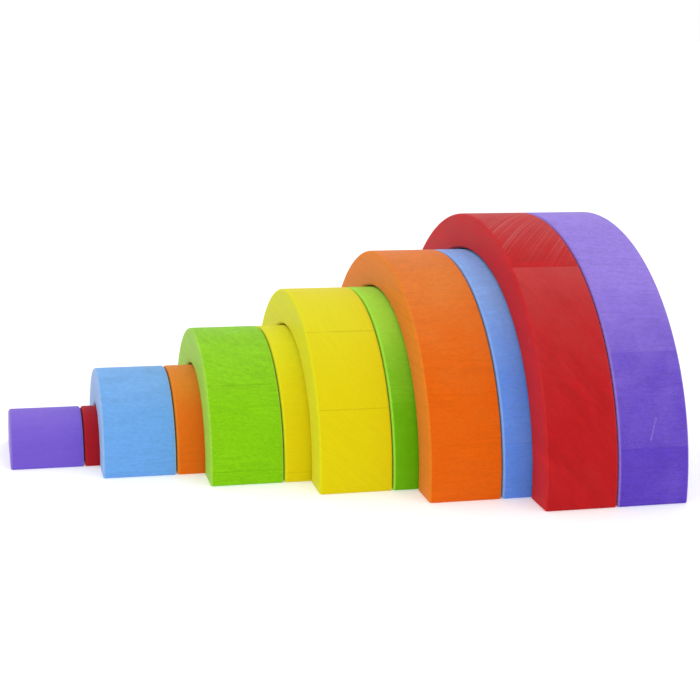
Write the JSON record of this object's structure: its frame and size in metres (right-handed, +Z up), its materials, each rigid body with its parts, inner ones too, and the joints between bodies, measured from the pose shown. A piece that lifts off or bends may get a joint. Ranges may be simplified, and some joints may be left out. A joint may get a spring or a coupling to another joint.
{
  "type": "rainbow stacker",
  "caption": "Wooden rainbow stacking toy: stained arch blocks in graded sizes round solid half rounds, paired face to face and telescoped out of each other in a row.",
  "frame": {"origin": "on the ground, under the middle of the drawn-out row", "axes": "+X across the arches, +Y along their bore towards the largest pair, +Z up"},
  "size_m": [0.25, 0.3274, 0.125],
  "materials": {
    "violet_stain": "stained, satin",
    "red_stain": "stained, satin",
    "blue_stain": "stained, satin",
    "orange_stain": "stained, satin",
    "green_stain": "stained, satin",
    "yellow_stain": "stained, satin"
  },
  "bodies": {
    "violet_largest_arch": {"violet_largest_arch": "violet_stain"},
    "red_largest_arch": {"red_largest_arch": "red_stain"},
    "blue_second_arch": {"blue_second_arch": "blue_stain"},
    "orange_second_arch": {"orange_second_arch": "orange_stain"},
    "green_third_arch": {"green_third_arch": "green_stain"},
    "yellow_third_arch": {"yellow_third_arch": "yellow_stain"},
    "yellow_fourth_arch": {"yellow_fourth_arch": "yellow_stain"},
    "green_fourth_arch": {"green_fourth_arch": "green_stain"},
    "orange_fifth_arch": {"orange_fifth_arch": "orange_stain"},
    "blue_fifth_arch": {"blue_fifth_arch": "blue_stain"},
    "red_half_round": {"red_half_round": "red_stain"},
    "violet_half_round": {"violet_half_round": "violet_stain"}
  },
  "joints": [
    {"name": "second_pair_slide", "type": "slide", "parent": "violet_largest_arch", "child": "blue_second_arch", "axis": [0, 1, 0], "range_m": [-0.015, 0.0525]},
    {"name": "third_pair_slide", "type": "slide", "parent": "blue_second_arch", "child": "green_third_arch", "axis": [0, 1, 0], "range_m": [-0.017, 0.0505]},
    {"name": "fourth_pair_slide", "type": "slide", "parent": "green_third_arch", "child": "yellow_fourth_arch", "axis": [0, 1, 0], "range_m": [-0.016, 0.0515]},
    {"name": "fifth_pair_slide", "type": "slide", "parent": "yellow_fourth_arch", "child": "orange_fifth_arch", "axis": [0, 1, 0], "range_m": [-0.0155, 0.052]},
    {"name": "smallest_pair_slide", "type": "slide", "parent": "orange_fifth_arch", "child": "red_half_round", "axis": [0, 1, 0], "range_m": [-0.022, 0.0455]},
    {"name": "largest_front_slide", "type": "slide", "parent": "violet_largest_arch", "child": "red_largest_arch", "axis": [0, 1, 0], "range_m": [-0.0525, 0]},
    {"name": "second_front_slide", "type": "slide", "parent": "blue_second_arch", "child": "orange_second_arch", "axis": [0, 1, 0], "range_m": [-0.0505, 0]},
    {"name": "third_front_slide", "type": "slide", "parent": "green_third_arch", "child": "yellow_third_arch", "axis": [0, 1, 0], "range_m": [-0.0515, 0]},
    {"name": "fourth_front_slide", "type": "slide", "parent": "yellow_fourth_arch", "child": "green_fourth_arch", "axis": [0, 1, 0], "range_m": [-0.052, 0]},
    {"name": "fifth_front_slide", "type": "slide", "parent": "orange_fifth_arch", "child": "blue_fifth_arch", "axis": [0, 1, 0], "range_m": [-0.0455, 0]},
    {"name": "smallest_front_slide", "type": "slide", "parent": "red_half_round", "child": "violet_half_round", "axis": [0, 1, 0], "range_m": [-0.0375, 0]}
  ]
}
